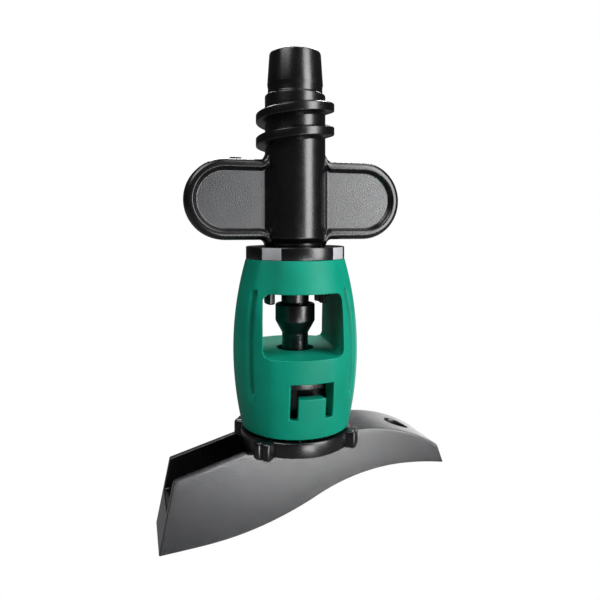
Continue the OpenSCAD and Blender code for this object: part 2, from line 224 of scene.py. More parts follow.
def arc_block(r0, r1, d0, d1, middle_deg, arc_deg, steps=14):
    """A slice of a tube between two radii and two depths, closed at both ends."""
    a = np.radians(middle_deg + np.linspace(-arc_deg / 2, arc_deg / 2, steps))[:, None]
    return capped(polar([r0, r1, r1, r0], a, [d0, d0, d1, d1]))


def upright(plan, d0, d1):
    """A plan outline standing between two depths."""
    return capped(np.array([np.column_stack([plan, np.full(len(plan), -d)]) for d in (d0, d1)]))


def cell_solid(points, solid, wrap_first=False):
    """Skin of the solid cells in a block grid.

    points has one position for every grid corner, and solid says which cells between them are
    filled. A face is kept wherever a filled cell meets an empty one or the outside. With
    wrap_first the first direction closes round on itself.
    """
    size = points.shape[:3]
    index = np.arange(size[0] * size[1] * size[2]).reshape(size)
    if wrap_first:
        index = np.concatenate([index, index[:1]], axis=0)
    faces = []
    for axis in range(3):
        pad = [(1, 1) if k == axis else (0, 0) for k in range(3)]
        filled = np.pad(solid, pad, mode="wrap" if (wrap_first and axis == 0) else "constant")
        below = np.take(filled, range(filled.shape[axis] - 1), axis=axis)
        above = np.take(filled, range(1, filled.shape[axis]), axis=axis)
        wall = below != above
        if wrap_first and axis == 0:
            wall = wall[:-1]
        i, j, k = np.nonzero(wall)
        u, v = [np.eye(3, dtype=int)[n] for n in range(3) if n != axis]
        steps = [p * u + q * v for p, q in ((0, 0), (1, 0), (1, 1), (0, 1))]
        quads = [index[i + step[0], j + step[1], k + step[2]] for step in steps]
        faces.append(np.stack(quads, axis=-1))
    return points.reshape(-1, 3), np.concatenate(faces)


def filled_in(marks, widest):
    """The marks with evenly spaced lines added so that no gap is wider than widest.

    widest is one width for all the gaps between the marks, or a list of one for each.
    """
    runs = [np.linspace(a, b, max(1, math.ceil((b - a) / wide)), endpoint=False)
            for a, b, wide in zip(marks[:-1], marks[1:], np.broadcast_to(widest, len(marks) - 1))]
    return np.concatenate(runs + [marks[-1:]])


# ---- Materials ----


def linear(hex_colour):
    """An sRGB hex colour as linear RGBA."""
    value = np.array([int(hex_colour[i:i + 2], 16) for i in (1, 3, 5)]) / 255
    low, high = value / 12.92, ((value + 0.055) / 1.055) ** 2.4
    return (*np.where(value <= 0.04045, low, high), 1.0)


def add(tree, kind, settings=(), links=()):
    """A node of one kind, with its socket or attribute settings and its incoming links."""
    node = tree.nodes.new(kind)
    for key, value in dict(settings).items():
        if key in node.inputs:
            node.inputs[key].default_value = value
        else:
            setattr(node, key, value)
    for key, source in dict(links).items():
        tree.links.new(source, node.inputs[key])
    return node


def ramp(tree, source, stops):
    """A colour ramp fed by source, with stops of (position, hex colour)."""
    node = add(tree, "ShaderNodeValToRGB", links={"Fac": source})
    elements = node.color_ramp.elements
    while len(elements) < len(stops):
        elements.new(0.5)
    for element, (position, colour) in zip(elements, stops):
        element.position = position
        element.color = linear(colour)
    return node


def noise(tree, place, size_mm, detail):
    """A noise value whose lumps are about size_mm across."""
    settings = {"Scale": 1 / (size_mm * MM), "Detail": detail}
    return add(tree, "ShaderNodeTexNoise", settings, {"Vector": place}).outputs["Fac"]


def bumped(tree, height, depth_mm, strength=1.0, over=None):
    """The normal of a surface that rises and falls by depth_mm, over another normal if given."""
    links = {"Height": height} if over is None else {"Height": height, "Normal": over}
    settings = {"Distance": depth_mm * MM, "Strength": strength}
    return add(tree, "ShaderNodeBump", settings, links).outputs["Normal"]


def moulded(name, dark, light, rough, grain_mm, grain_depth_mm, ripple_depth_mm=0.0, shine=0.5):
    """An injection-moulded plastic: flow shade, a polished or sparked grain and a slight sink."""
    flow_mm, scuff_mm, ripple_mm = 9, 2.2, 5
    material = bpy.data.materials.new(name)
    material.use_nodes = True
    tree = material.node_tree
    shader = tree.nodes["Principled BSDF"]
    shader.inputs["IOR"].default_value = 1.5
    shader.inputs["Specular IOR Level"].default_value = shine
    place = add(tree, "ShaderNodeTexCoord").outputs["Object"]
    colour = ramp(tree, noise(tree, place, flow_mm, 4.0), [(0.3, dark), (0.7, light)])
    tree.links.new(colour.outputs["Color"], shader.inputs["Base Color"])
    dull = add(tree, "ShaderNodeMapRange", {"To Min": rough - 0.05, "To Max": rough + 0.06},
               {"Value": noise(tree, place, scuff_mm, 6.0)})
    tree.links.new(dull.outputs["Result"], shader.inputs["Roughness"])
    normal = bumped(tree, noise(tree, place, grain_mm, 3.0), grain_depth_mm)
    if ripple_depth_mm:
        ripple = noise(tree, place, ripple_mm, 1.0)
        normal = bumped(tree, ripple, ripple_depth_mm, over=normal)
    tree.links.new(normal, shader.inputs["Normal"])
    return material


def black_acetal_polished():
    """Black acetal from a polished mould: near black, with a soft clear highlight."""
    return moulded("black_acetal_polished", "#050406", "#08070a", rough=0.26, grain_mm=0.5,
                   grain_depth_mm=0.01, ripple_depth_mm=0.03, shine=0.75)


def black_acetal_sparked():
    """Black acetal from a lightly sparked mould: satin, so it reads grey where a lamp mirrors."""
    return moulded("black_acetal_sparked", "#202124", "#2a2b2e", rough=0.21, grain_mm=0.24,
                   grain_depth_mm=0.034, shine=1.0)


def black_acetal_grained():
    """Black acetal from a deeply sparked mould: the handles' panels, dull and dark grey."""
    return moulded("black_acetal_grained", "#28292c", "#323336", rough=0.38, grain_mm=0.24,
                   grain_depth_mm=0.055, shine=1.0)


def flats_painted_reflection():
    """Black acetal painted pale grey on the flats: a painted reflection of the lamps that the flat
    faces mirror.
    """
    # The pale grey base colour is a painted reflection, not the plastic's own colour
    return moulded("flats_painted_reflection", "#9c9ea1", "#bcbec1", rough=0.42, grain_mm=0.3,
                   grain_depth_mm=0.03, shine=1.0)


def green_acetal():
    """Green acetal, satin: an even colour with faint flow shade and moulded grain."""
    return moulded("green_acetal", "#018068", "#029077", rough=0.5, grain_mm=0.5,
                   grain_depth_mm=0.02, ripple_depth_mm=0.03, shine=0.2)


def nitrile_rubber():
    """Black nitrile rubber seals: dull, with no clear highlight."""
    return moulded("nitrile_rubber", "#0e0e0e", "#161616", rough=0.7, grain_mm=0.3,
                   grain_depth_mm=0.02)


def natural_bearing_plastic():
    """Natural low-friction bearing plastic: milky white and waxy."""
    return moulded("natural_bearing_plastic", "#dedbd0", "#ece9df", rough=0.45, grain_mm=0.4,
                   grain_depth_mm=0.01)


def turned_stainless():
    """Turned stainless steel: fine rings round the axis from the tool."""
    ring_mm, ring_depth_mm = 1.2, 0.004
    material = bpy.data.materials.new("turned_stainless")
    material.use_nodes = True
    tree = material.node_tree
    shader = tree.nodes["Principled BSDF"]
    shader.inputs["Metallic"].default_value = 1.0
    place = add(tree, "ShaderNodeTexCoord").outputs["Object"]
    settings = {"Scale": 1 / (ring_mm * MM), "bands_direction": "Z", "Distortion": 0.4}
    rings = add(tree, "ShaderNodeTexWave", settings, {"Vector": place}).outputs["Fac"]
    colour = ramp(tree, rings, [(0.0, "#b4b6b8"), (1.0, "#c6c8ca")])
    tree.links.new(colour.outputs["Color"], shader.inputs["Base Color"])
    dull = add(tree, "ShaderNodeMapRange", {"To Min": 0.24, "To Max": 0.34}, {"Value": rings})
    tree.links.new(dull.outputs["Result"], shader.inputs["Roughness"])
    tree.links.new(bumped(tree, rings, ring_depth_mm, 0.6), shader.inputs["Normal"])
    return material


POLISHED = black_acetal_polished()
SPARKED = black_acetal_sparked()
GRAINED = black_acetal_grained()
PALE_FLATS_PAINTED_REFLECTION = flats_painted_reflection()
GREEN = green_acetal()
RUBBER = nitrile_rubber()
BEARING = natural_bearing_plastic()
STEEL = turned_stainless()


# ---- Camera, floor and lights ----


def side_camera():
    """Close camera level with the handles' lower edge, turned a little to the sprinkler's left."""
    azimuth, distance, eye = math.radians(-16), 113 * MM, -34.3 * MM
    data = bpy.data.cameras.new("camera")
    data.sensor_width = 36
    data.lens = 33.9
    data.shift_x, data.shift_y = 0.0082, -0.125
    data.clip_start = 0.01
    camera = bpy.data.objects.new("camera", data)
    camera.location = (distance * math.sin(azimuth), -distance * math.cos(azimuth), eye)
    camera.rotation_euler = (math.pi / 2, 0, azimuth)
    bpy.context.scene.collection.objects.link(camera)
    bpy.context.scene.camera = camera


# Name, azimuth and elevation in degrees, distance and size in metres, watts and the depth aimed at
LAMPS = [
    ("key_strip", 37, 12, 0.42, (0.19, 0.42), 2.1, 45),
    ("overhead_left", -62, 52, 0.5, (0.3, 0.3), 1.2, 45),
    ("overhead_right", 45, 55, 0.5, (0.3, 0.3), 0.8, 45),
    ("low_front", 13, -20, 0.4, (0.15, 0.06), 0.36, 45),
    ("back_top", 162, 49, 0.5, (0.4, 0.14), 2.6, 45),
    ("crown_card", 137, 0, 0.0714, (0.06, 0.035), 0.009, 77),
]


def softbox(name, azimuth_deg, elevation_deg, distance, size, watts, aim_d):
    """A rectangular lamp aimed at a depth on the axis, placed by its azimuth and elevation."""
    a, e = math.radians(azimuth_deg), math.radians(elevation_deg)
    data = bpy.data.lights.new(name, "AREA")
    data.shape = "RECTANGLE"
    data.size, data.size_y = size
    data.energy = watts
    lamp = bpy.data.objects.new(name, data)
    out, up = distance * math.cos(e), distance * math.sin(e)
    lamp.location = (out * math.sin(a), -out * math.cos(a), up - aim_d * MM)
    lamp.rotation_euler = (math.pi / 2 - e, 0, a)
    bpy.context.scene.collection.objects.link(lamp)


def studio():
    """White surroundings for the camera, dim for everything else, and the lamps."""
    world = bpy.data.worlds.new("studio")
    bpy.context.scene.world = world
    world.use_nodes = True
    tree = world.node_tree
    tree.nodes.clear()
    path = add(tree, "ShaderNodeLightPath")
    seen = add(tree, "ShaderNodeBackground", {"Color": (1, 1, 1, 1), "Strength": 1.0})
    around = add(tree, "ShaderNodeBackground", {"Color": (0.93, 0.96, 1, 1), "Strength": 0.04})
    mix = add(tree, "ShaderNodeMixShader", links={0: path.outputs["Is Camera Ray"]})
    tree.links.new(around.outputs[0], mix.inputs[1])
    tree.links.new(seen.outputs[0], mix.inputs[2])
    output = add(tree, "ShaderNodeOutputWorld")
    tree.links.new(mix.outputs[0], output.inputs["Surface"])
    for lamp in LAMPS:
        softbox(*lamp)
    bpy.context.scene.view_settings.view_transform = "Standard"


def floor():
    """A plain pale floor well below the hanging sprinkler, lit evenly to the white of the room."""
    size, depth = 1.2, 0.3
    corners = [(x * size, y * size, -depth) for x, y in ((-1, -1), (1, -1), (1, 1), (-1, 1))]
    mesh = bpy.data.meshes.new("floor")
    mesh.from_pydata(corners, [], [(0, 1, 2, 3)])
    pale = bpy.data.materials.new("pale_floor")
    pale.use_nodes = True
    tree = pale.node_tree
    tree.nodes.clear()
    path = add(tree, "ShaderNodeLightPath")
    shine = add(tree, "ShaderNodeMapRange", {"To Min": 0.2, "To Max": 1.0},
                {"Value": path.outputs["Is Camera Ray"]})
    glow = add(tree, "ShaderNodeEmission", {"Color": (1, 1, 1, 1)},
               {"Strength": shine.outputs["Result"]})
    output = add(tree, "ShaderNodeOutputMaterial")
    tree.links.new(glow.outputs[0], output.inputs["Surface"])
    mesh.materials.append(pale)
    obj = bpy.data.objects.new("floor", mesh)
    bpy.context.scene.collection.objects.link(obj)


# ---- Inlet connector ----


def connector_tube():
    """Tapered nose, neck groove, collar, tube and foot, with the bore and the socket inside."""
    tip_r, nose_r, groove_r, socket_r, socket_top, tube_foot = 5.14, 5.58, 5.46, 4.42, 30.5, 36.9
    return revolved([
        (INLET_BORE_R, 0, 0.25), (tip_r, 0, 0.55), (nose_r, NOSE_FOOT - 0.1, 0.25),
        (groove_r, NOSE_FOOT + 0.5, 0.3), (groove_r, GROOVE_FOOT - 0.3, 0.3),
        (TUBE_R, GROOVE_FOOT + 0.1, 0.3), (TUBE_R, tube_foot, 0.8), (NECK_R, tube_foot + 0.9, 0.4),
        (NECK_R, FLANGE_TOP, 0.1), (socket_r, FLANGE_TOP, 0.1), (socket_r, socket_top, 0.2),
        (INLET_BORE_R, socket_top, 0.2)])


def connector_thread():
    """Coarse right-handed ridge: a rounded section on a helix that fades out at both ends."""
    turns, fade, start_deg, start_d = 1.95, 0.22, 59, 9.98
    t = np.linspace(0, turns, 150)
    rise = np.clip(np.minimum(t, turns - t) / fade, 0, 1)
    rise = rise * rise * (3 - 2 * rise)
    upper = [(0, 1.55, 0.1), (0.85, 0.95, 0.5), (1, 0.75, 0.5)]
    section = rounded(upper + [(out, -up, radius) for out, up, radius in reversed(upper)])
    inner = TUBE_R - 0.5
    height = (THREAD_CREST_R - inner) * (0.1 + 0.9 * rise)
    r = inner + np.outer(height, section[:, 0])
    d = (start_d + THREAD_PITCH * t)[:, None] + np.outer(0.6 + 0.4 * rise, -section[:, 1])
    return capped(polar(r, np.radians(start_deg - 360 * t)[:, None], d))


def handle_half_thickness(x, z, edge):
    """Half thickness of the handles at (x, z), at a distance edge inside their outline.

    The rim is a bead: its outer edge is a quarter round and the D-shaped recess inside it drops
    by a smooth step.
    """
    half, edge_r = HANDLE_T / 2, HANDLE_EDGE_R
    side = np.clip(edge, 0, edge_r)
    height = half - edge_r + np.sqrt(np.maximum(edge_r**2 - (edge_r - side) ** 2, 0))
    inner_x, corner, wall = TUBE_R - 0.55, 0.9, 0.95
    a = HANDLE_RIM - edge + corner
    b = inner_x - np.abs(x) + corner
    inside = np.hypot(np.maximum(a, 0), np.maximum(b, 0)) + np.minimum(np.maximum(a, b), 0) - corner
    step = np.clip(-inside / wall, 0, 1)
    return height - HANDLE_RECESS * step * step * (3 - 2 * step)


def connector_handles():
    """Both handles as one strip with round tips, from the strip's middle line out to its edge."""
    tip_r = HANDLE_H / 2
    centre_x = HANDLE_SPAN / 2 - tip_r
    middle_d = HANDLE_TOP + tip_r
    # Columns are closest over the flare and the recess's upright wall, beside the tube
    inside_tube, past_flare, past_wall = 4.6, TUBE_R + 1.1, TUBE_R + 3.2
    half = filled_in([0, inside_tube, TUBE_R + 0.4, past_flare, past_wall, centre_x],
                     [2.4, 0.2, 0.2, 0.16, 0.7])
    x = np.concatenate([-half[:0:-1], half])
    a = np.linspace(0, math.pi, 49)
    middle = np.concatenate([x, np.full(49, centre_x), x[::-1], np.full(49, -centre_x)])
    out_x = np.concatenate([0 * x, np.sin(a), 0 * x, -np.sin(a)])
    out_z = np.concatenate([0 * x - 1, -np.cos(a), 0 * x + 1, np.cos(a)])
    rim_in = tip_r - HANDLE_RIM
    quarter = np.sin(np.linspace(0, math.pi / 2, 9))
    v = np.concatenate([filled_in([0, rim_in - 1.05, rim_in + 0.1], [0.8, 0.1]),
                        tip_r - HANDLE_EDGE_R * (1 - quarter)])
    flare_r = 1.3
    near = np.clip(flare_r + TUBE_R - np.abs(middle), 0, flare_r)
    flare = flare_r - np.sqrt(flare_r**2 - near**2)
    px = middle[:, None] + np.outer(out_x, v)
    pz = np.outer(out_z, v) + np.outer(out_z * flare, v / tip_r)
    h = handle_half_thickness(px, pz, np.broadcast_to(tip_r - v, px.shape))
    front = np.stack([px, -h, pz - middle_d], axis=-1)
    back = np.stack([px, h, pz - middle_d], axis=-1)[:, ::-1]
    sheet = np.concatenate([front, back], axis=1)
    return sheet.reshape(-1, 3), grid_quads(sheet.shape[0], sheet.shape[1], True, False)


def gate_mark():
    """The small stub left on the left handle's top edge where the plastic was let in."""
    left, right, half_w, corner = -13.2, -10.9, 0.7, 0.3
    plan = [(left, -half_w, corner), (right, -half_w, corner), (right, half_w, corner),
            (left, half_w, corner)]
    return upright(rounded(plan), HANDLE_TOP - 0.35, HANDLE_TOP + 0.6)


def face_data(mesh):
    """Centres in millimetres and normals of a mesh's faces."""
    centre, normal = np.zeros(len(mesh.polygons) * 3), np.zeros(len(mesh.polygons) * 3)
    mesh.polygons.foreach_get("center", centre)
    mesh.polygons.foreach_get("normal", normal)
    return centre.reshape(-1, 3) / MM, normal.reshape(-1, 3)


def paint(obj, chosen, material_index):
    """Gives the chosen faces another of the object's materials, and the rest the first."""
    slots = np.where(chosen, material_index, 0).astype(np.int32)
    obj.data.polygons.foreach_set("material_index", slots)


def paint_panels(obj, material_index):
    """Gives the recessed panels of the handles their own finish."""
    centre, normal = face_data(obj.data)
    level, slack, facing = HANDLE_T / 2 - HANDLE_RECESS, 0.12, 0.95
    panel = (np.abs(np.abs(centre[:, 1]) - level) < slack) & (np.abs(normal[:, 1]) > facing)
    panel &= np.abs(centre[:, 0]) > TUBE_R - 0.5
    paint(obj, panel, material_index)


def build_connector():
    """The inlet connector: tube, thread, handles and gate mark."""
    like = ("connector", "black_acetal", [POLISHED], ["inlet_connector"])
    piece("connector_tube", [connector_tube()], *like)
    piece("connector_thread", [connector_thread()], *like)
    handles = piece("connector_handles", [connector_handles()], "connector", "black_acetal",
                    [POLISHED, GRAINED], ["inlet_connector"])
    paint_panels(handles, 1)
    soften(piece("gate_mark", [gate_mark()], *like), 0.15)


# ---- Nozzle carrier and nozzle ----


def flat_radius(theta_deg, round_r, flat_r):
    """Radius at an angle from the front of a circle cut by two pairs of flats."""
    off = np.abs(((theta_deg + 90) % 180) - 90) - FLAT_CENTRE
    return np.minimum(round_r, flat_r / np.cos(np.radians(np.clip(off, -60, 60))))


def faceted_flange():
    """The carrier's flange: a ring whose rim follows the circle and the flats."""
    near, far = FLAT_CENTRE - FLAT_HALF_ARC, FLAT_CENTRE + FLAT_HALF_ARC
    half = filled_in([-far, -near, near, far, 180 - far], 3.3)[:-1]
    theta = np.concatenate([half, half + 180])
    rim = flat_radius(theta, FLANGE_R, FLAT_R)
    # Profile points at 1 stand for the rim, and those at 5 are a true radius
    profile = rounded([(5.0, FLANGE_TOP, 0.1), (1.0, FLANGE_TOP, 0.18), (1.0, FLANGE_FOOT, 0.12),
                       (5.0, FLANGE_FOOT, 0.1)], 3)
    at_rim = profile[:, 0] <= 1.5
    r = np.where(at_rim, rim[:, None] - np.abs(1 - profile[:, 0]), profile[:, 0])
    points = polar(r, np.radians(theta - 90)[:, None], profile[:, 1])
    return points.reshape(-1, 3), grid_quads(len(theta), len(profile), True, True)


def paint_flats(obj, material_index):
    """Gives the upright flats of the flange their pale grey, a painted reflection."""
    centre, normal = face_data(obj.data)
    azimuth = np.degrees(np.arctan2(centre[:, 0], -centre[:, 1]))
    turned = np.abs((azimuth + 90) % 180 - 90)
    flat = (np.abs(turned - FLAT_CENTRE) < FLAT_HALF_ARC) & (np.abs(normal[:, 2]) < 0.3)
    flat &= np.hypot(centre[:, 0], centre[:, 1]) > FLANGE_R - 1.8
    paint(obj, flat, material_index)


def build_carrier():
    """The nozzle carrier's flange, plug and two hooked legs, and the nozzle in it."""
    plug_top, shoulder, plug_foot = FLANGE_TOP - 6.5, FLANGE_TOP + 0.5, 46.95
    plug = revolved([(2.8, plug_top, 0.1), (4.3, plug_top, 0.2), (4.3, shoulder, 0.1),
                     (6.22, shoulder, 0.1), (6.22, plug_foot, 0.3), (2.8, plug_foot, 0.1)])
    flange = piece("carrier_flange", [faceted_flange()], "connector", "black_acetal",
                   [POLISHED, PALE_FLATS_PAINTED_REFLECTION], ["nozzle_carrier"])
    # The flats take the pale grey of a painted reflection
    paint_flats(flange, 1)
    like = ("connector", "black_acetal", [POLISHED], ["nozzle_carrier"])
    piece("carrier_plug", [plug], *like)
    for side, turn in (("right", 0), ("left", 180)):
        leg = arc_block(4.8, 6.2, 46.5, 49.85, turn, 44)
        soften(piece(f"bayonet_leg_{side}", [leg], *like), 0.35)
        hook = arc_block(6.0, 6.98, 47.12, 48.5, turn, 28)
        soften(piece(f"bayonet_hook_{side}", [hook], *like), 0.25)

    top, tip, head_r, groove_r, stem_r, bore_r, jet_r = 36.6, 51.0, 3.27, 2.6, 2.76, 1.9, 0.9
    nozzle = revolved([
        (bore_r, top, 0.2), (head_r, top, 0.2), (head_r, top + 1.0, 0.1),
        (groove_r, top + 1.0, 0.1), (groove_r, top + 2.2, 0.1), (head_r, top + 2.2, 0.1),
        (head_r, top + 3.4, 0.1), (stem_r, top + 3.4, 0.1), (stem_r, tip, 0.3),
        (jet_r, tip, 0.1), (jet_r, tip - 1.0, 0.1), (bore_r, tip - 6.0, 0.5)])
    piece("nozzle_insert", [nozzle], "connector", "black_acetal", [POLISHED], ["nozzle"])


# ---- Bridge body ----


def barrel_radius(d):
    """Radius of the barrel's arc at a depth."""
    return BARREL_R - BARREL_ARC_R + np.sqrt(BARREL_ARC_R**2 - (d - BARREL_WAIST) ** 2)


def barrel_skin(theta_deg, d):
    """Outer radius of the body: the barrel's arc, cut by flats that run out down the shoulder."""
    lean = math.tan(math.radians(12))
    flat = FLAT_R + 0.05 + (d - FLANGE_FOOT) * lean
    return np.minimum(barrel_radius(d), flat_radius(theta_deg + WINDOW_TURN, math.inf, flat))


def window_half_width(d):
    """Half width of the window at a depth, with its corners rounded."""
    corner = WINDOW_CORNER_R
    past = np.maximum(WINDOW_TOP + corner - d, d - (WINDOW_FOOT - corner))
    past = np.clip(past, 0, corner)
    return WINDOW_HALF_W - corner + np.sqrt(corner**2 - past**2)


def bridge_shell():
    """Barrel with its through window, floor, lower chamber, tongue slots and pad grooves.

    Columns are angles from the window's middle and follow its edges and the slots' edges down the
    barrel. Layers run out from the bore to the skin.
    """
    groove_top, groove_foot, groove_depth, groove_end = 46.3, 66.9, 1.0, 0.8
    slot_top, tongue_top, slot_foot = 63.0, 65.7, 69.6
    slot_half_w, tongue_half_w = 4.15, 2.65
    plug_bore_r, tube_bore_r, chamber_r = 6.3, 3.64, 9.5
    slot_mid = -WINDOW_TURN
    bend = WINDOW_CORNER_R * np.array([0.293, 1.0])
    marks = [FLANGE_FOOT, groove_top, WINDOW_TOP, *(WINDOW_TOP + bend), *(WINDOW_FOOT - bend[::-1]),
             WINDOW_FOOT, FLOOR_FOOT, slot_top, tongue_top, groove_foot, slot_foot, BARREL_FOOT]
    depth = filled_in(marks, 1.5)
    half_w = window_half_width(depth)
    slot_zone = barrel_radius(np.clip(depth, slot_top, slot_foot))
    window = np.degrees(np.arcsin(half_w / barrel_radius(depth)))
    slot = np.degrees(np.arcsin(slot_half_w / slot_zone))
    tongue = np.degrees(np.arcsin(tongue_half_w / slot_zone))
    one = np.ones_like(depth)
    flat_left = (slot_mid - FLAT_CENTRE + FLAT_HALF_ARC) * one
    flat_right = np.minimum(slot_mid + FLAT_CENTRE - FLAT_HALF_ARC, window - 3)
    left_groove = [("pillar", count, -angle * one)
                   for count, angle in zip((1, 1, 2, 1, 2), reversed(GROOVE_ANGLES))]
    right_groove = [("pillar", count, angle * one)
                    for count, angle in zip((1, 2, 1, 1, 1), GROOVE_ANGLES)]
    # What a run of columns is, how many it has and the angle of its left edge at each depth
    columns = [("pillar", 8, -90 * one), *left_groove,
               ("sill", 3, -window), ("sill", 2, flat_left),
               ("arm", 2, slot_mid - slot), ("tongue", 4, slot_mid - tongue),
               ("arm", 2, slot_mid + tongue), ("sill", 2, slot_mid + slot),
               ("sill", 1, flat_right), ("pillar", 2, window), *right_groove,
               ("pillar", 7, (slot_mid + FLAT_CENTRE + FLAT_HALF_ARC) * one)]
    theta, kind = [], []
    for n, (name, count, left) in enumerate(columns):
        right = columns[n + 1][2] if n + 1 < len(columns) else 90 * one
        for step in range(count):
            theta.append(left + (right - left) * step / count)
            kind.append(name)
    theta = np.array(theta + [t + 180 for t in theta])
    kind = np.array(kind + kind)

    d = np.broadcast_to(depth, theta.shape)
    turned = np.abs((theta + 90) % 180 - 90)
    across = np.interp(turned, GROOVE_ANGLES, [0, 1, 1, 0.2, 0])
    full_top, full_foot = groove_top + groove_end, groove_foot - groove_end
    along = np.interp(d, [groove_top, full_top, full_foot, groove_foot], [0, 1, 1, 0])
    skin = barrel_skin(theta, d) - groove_depth * across * along
    sine = np.abs(np.sin(np.radians(theta)))
    pillar = np.minimum(skin, half_w[None, :] / np.maximum(sine, 1e-3))
    wall = np.where(d >= FLOOR_FOOT, chamber_r, pillar)
    hole = np.where(d < 0.5 * (WINDOW_TOP + WINDOW_FOOT), plug_bore_r, tube_bore_r)
    radius = np.stack([hole, wall, skin], axis=-1)
    points = polar(radius, np.radians(theta - 90 + WINDOW_TURN)[..., None], d[..., None])

    rows = (0.5 * (depth[1:] + depth[:-1]))[None, :]
    solid = np.ones((len(kind), rows.size, 2), bool)
    in_window = (rows > WINDOW_TOP) & (rows < WINDOW_FOOT)
    solid[:, :, 0] &= ~in_window & ~(rows > FLOOR_FOOT)
    opened = in_window & np.isin(kind, ["sill", "arm", "tongue"])[:, None]
    opened |= (rows > slot_top) & (rows < slot_foot) & (kind == "arm")[:, None]
    opened |= (rows > slot_top) & (rows < tongue_top) & (kind == "tongue")[:, None]
    solid &= ~opened[:, :, None]
    return cell_solid(points, solid, wrap_first=True)


def build_bridge():
    """The bridge body, and the bearing cartridge that shows behind its slots."""
    shell = piece("bridge_shell", [bridge_shell()], "bridge", "green_acetal", [GREEN],
                  ["bridge_body"], merge_mm=0.01)
    soften(shell, 0.2, angle=35)
    top, head_foot, seat, foot = 61.0, 64.7, 65.4, 73.15
    core = revolved([
        (3.9, top, 0.1), (9.42, top, 0.7), (9.42, head_foot, 0.15), (8.3, head_foot, 0.1),
        (8.3, foot, 0.3), (6.5, foot, 0.1), (6.5, seat + 1.1, 0.1), (3.0, seat + 1.1, 0.1),
        (3.0, seat, 0.1), (3.9, seat, 0.1)])
    piece("cartridge_shell", [core], "bridge", "black_acetal", [POLISHED], ["bearing_cartridge"])


# ---- Rotor ----


def build_cup():
    """The cup that catches the jet, its cone and the tube below it, hollow all the way."""
    mouth, foot, cup_r, tube_r, stem_bore_r, way_r = 49.82, 67.2, 3.94, 2.69, 2.2, 1.4
    cup = revolved([
        (3.1, mouth, 0.3), (cup_r, mouth, 0.45), (cup_r, 53.25, 0.7), (2.62, 55.6, 0.9),
        (2.58, 57.0, 0.3), (tube_r, 58.8, 0.3), (tube_r, foot, 0.1), (stem_bore_r, foot, 0.05),
        (stem_bore_r, 57.2, 0.05), (way_r, 57.2, 0.05), (way_r, 55.2, 0.3), (3.1, 52.4, 0.4)])
    piece("cup_and_tube", [cup], "rotor", "black_acetal", [POLISHED], ["swivel_cup"])


def collar_lug(turn_deg):
    """A squat lug on the collar's rim, round at every edge, with a shallow groove down its face."""
    half_w, face, top, foot, edge_r = 1.75, 12.5, 73.8, 77.15, 0.6
    swing = np.linspace(0, math.pi / 2, 6)
    inset, drop = edge_r * (1 - np.sin(swing)), edge_r * (1 - np.cos(swing))
    level = np.concatenate([top + drop, foot - drop[::-1]])
    rings = []
    for depth, shrink in zip(level, np.concatenate([inset, inset[::-1]])):
        w, f = half_w - shrink, face - shrink
        plan = rounded([(10.2, -w, 0.1), (f, -w, 0.55), (f, -0.45, 0.2), (f - 0.25, -0.22, 0.15),
                        (f - 0.25, 0.22, 0.15), (f, 0.45, 0.2), (f, w, 0.55), (10.2, w, 0.1)], 5)
        rings.append(np.column_stack([plan, np.full(len(plan), -depth)]))
    cos, sin = math.cos(math.radians(turn_deg)), math.sin(math.radians(turn_deg))
    return capped(np.array(rings) @ np.array([[cos, sin, 0], [-sin, cos, 0], [0, 0, 1]]))


def build_collar():
    """The ring under the body, with its web and four lugs."""
    web_top, step_foot = 74.3, 75.2
    ring = revolved([
        (9.3, COLLAR_TOP, 0.2), (COLLAR_R, COLLAR_TOP, 0.35), (COLLAR_R, COLLAR_FOOT, 0.2),
        (2.22, COLLAR_FOOT, 0.1), (2.22, web_top, 0.1), (4.0, web_top, 0.3), (4.0, step_foot, 0.3),
        (9.3, step_foot, 0.3)])
    like = ("rotor", "black_acetal", [POLISHED], ["rotor_collar"])
    piece("collar_ring", [ring], *like)
    for n, turn_deg in enumerate(LUG_ANGLES, 1):
        piece(f"collar_lug_{n}", [collar_lug(turn_deg)], *like)


def underside(x):
    """Depth of the rotor's lower edge: crest, hollow and straight, from right to left."""
    crest_x, crest_d, crest_r = 20.2, 81.9, 39.0
    hollow_r, hollow_x, straight_a = 63.0, 2.65, math.radians(6.1)
    join_a = math.asin((crest_x - hollow_x) / crest_r)
    crest = crest_d + crest_r - np.sqrt(np.maximum(crest_r**2 - (x - crest_x) ** 2, 0))
    join_d = crest_d + crest_r * (1 - math.cos(join_a))
    centre_x = hollow_x - hollow_r * math.sin(join_a)
    centre_d = join_d - hollow_r * math.cos(join_a)
    hollow = centre_d + np.sqrt(np.maximum(hollow_r**2 - (x - centre_x) ** 2, 0))
    line_x = centre_x + hollow_r * math.sin(straight_a)
    line = centre_d + hollow_r * math.cos(straight_a) + (line_x - x) * math.tan(straight_a)
    return np.where(x > hollow_x, crest, np.where(x > line_x, hollow, line))


